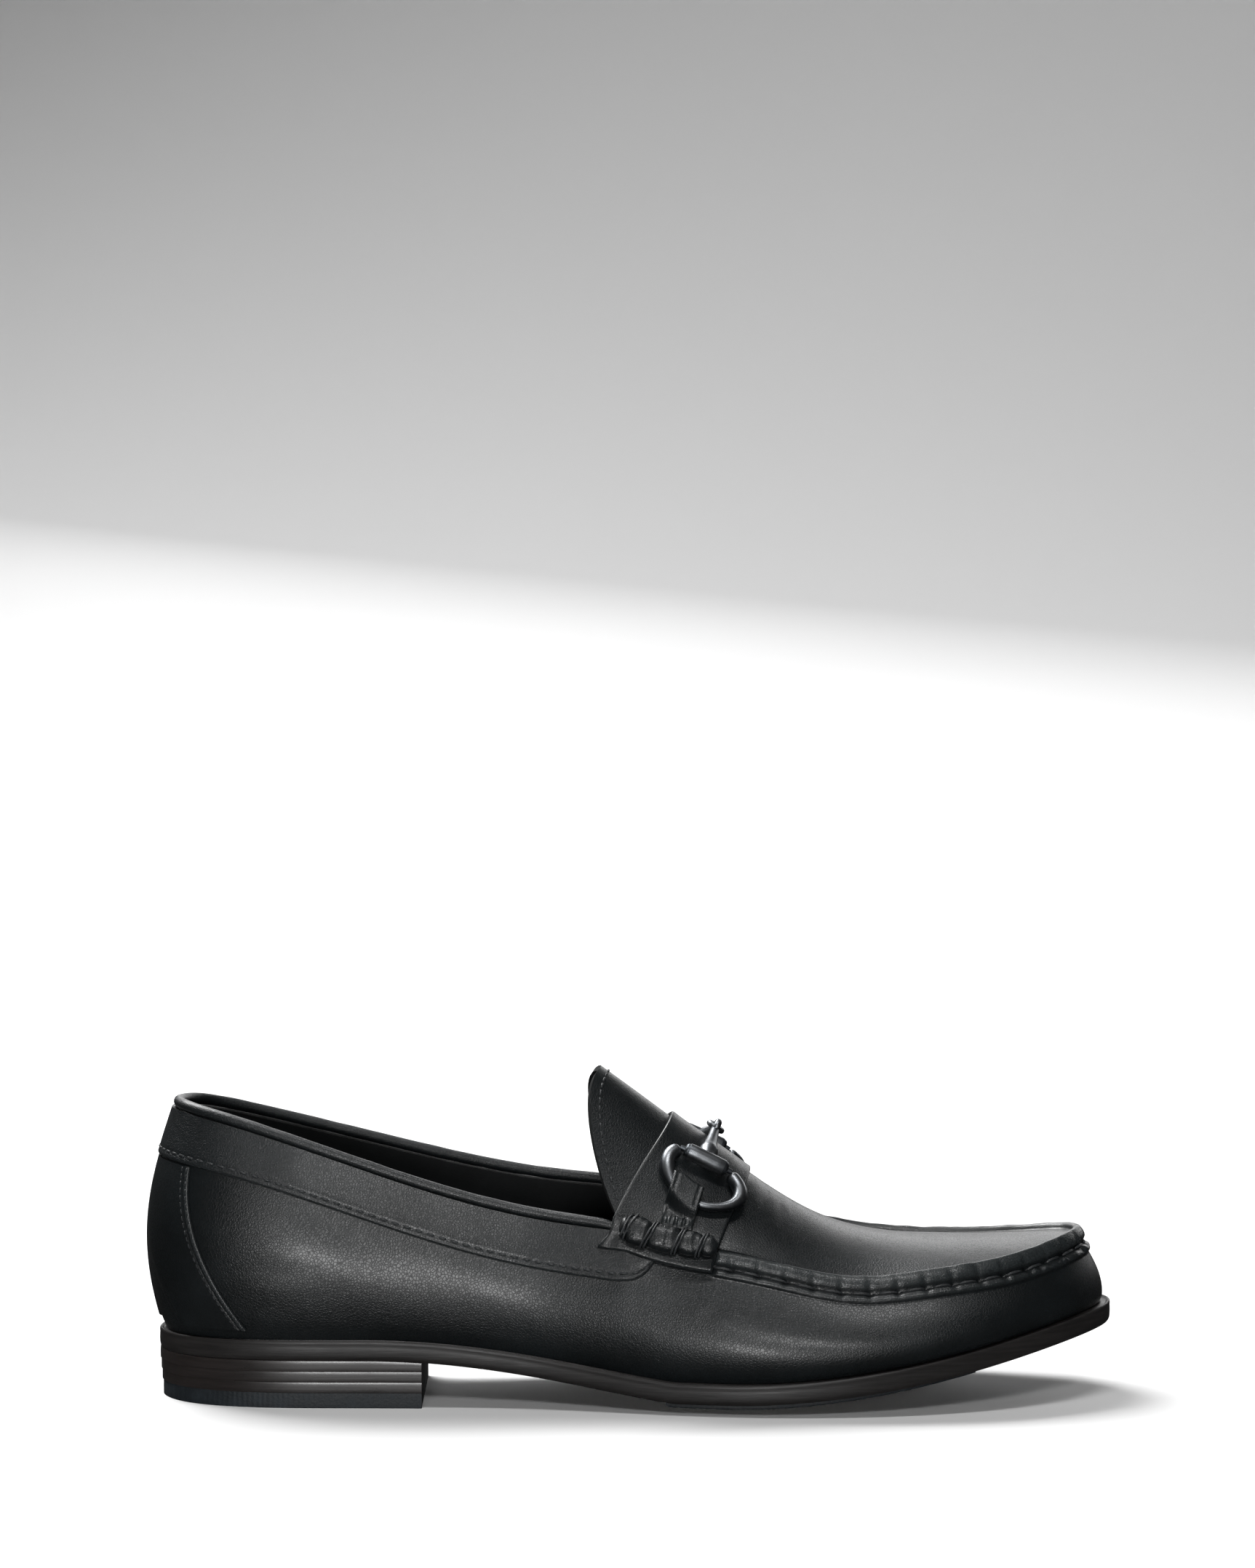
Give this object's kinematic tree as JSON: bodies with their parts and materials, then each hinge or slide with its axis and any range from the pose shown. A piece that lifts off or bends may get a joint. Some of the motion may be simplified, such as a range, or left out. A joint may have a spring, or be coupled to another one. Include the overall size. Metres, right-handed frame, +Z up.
{
  "type": "bit loafer",
  "caption": "Slip-on moccasin shoe with a raised tongue, a strap with a metal bit over the instep, a stitched apron ridge and a low stacked heel.",
  "frame": {"origin": "on the floor, under the middle of the shoe's box", "axes": "+X to the toe, +Y to the inner side of the foot, +Z up"},
  "size_m": [0.3044, 0.1058, 0.1031],
  "materials": {
    "black_calf": "polished, with a fine grain",
    "band_calf": "semi-gloss, with more grain",
    "sole_leather": "waxed edge",
    "stack_leather": "waxed layers",
    "tread_rubber": "matt",
    "lining": "matt",
    "bit_metal": "darkened, worn bright on its edges"
  },
  "bodies": {
    "root": {"upper": "black_calf", "collar_band": "band_calf", "counter": "black_calf", "topline_piping": "band_calf", "saddle_strap": "black_calf", "seam_roll_lateral": "black_calf", "seam_roll_medial": "black_calf", "keeper_lateral": "black_calf", "keeper_medial": "black_calf", "bit_ring_lateral": "bit_metal", "bit_ring_medial": "bit_metal", "bit_bar_lateral": "bit_metal", "bit_bar_medial": "bit_metal", "outsole": "sole_leather", "forepart_pad": "tread_rubber", "top_lift": "tread_rubber", "heel_lift_1": "stack_leather", "heel_lift_2": "stack_leather", "heel_lift_3": "stack_leather", "insole": "lining"}
  },
  "joints": []
}
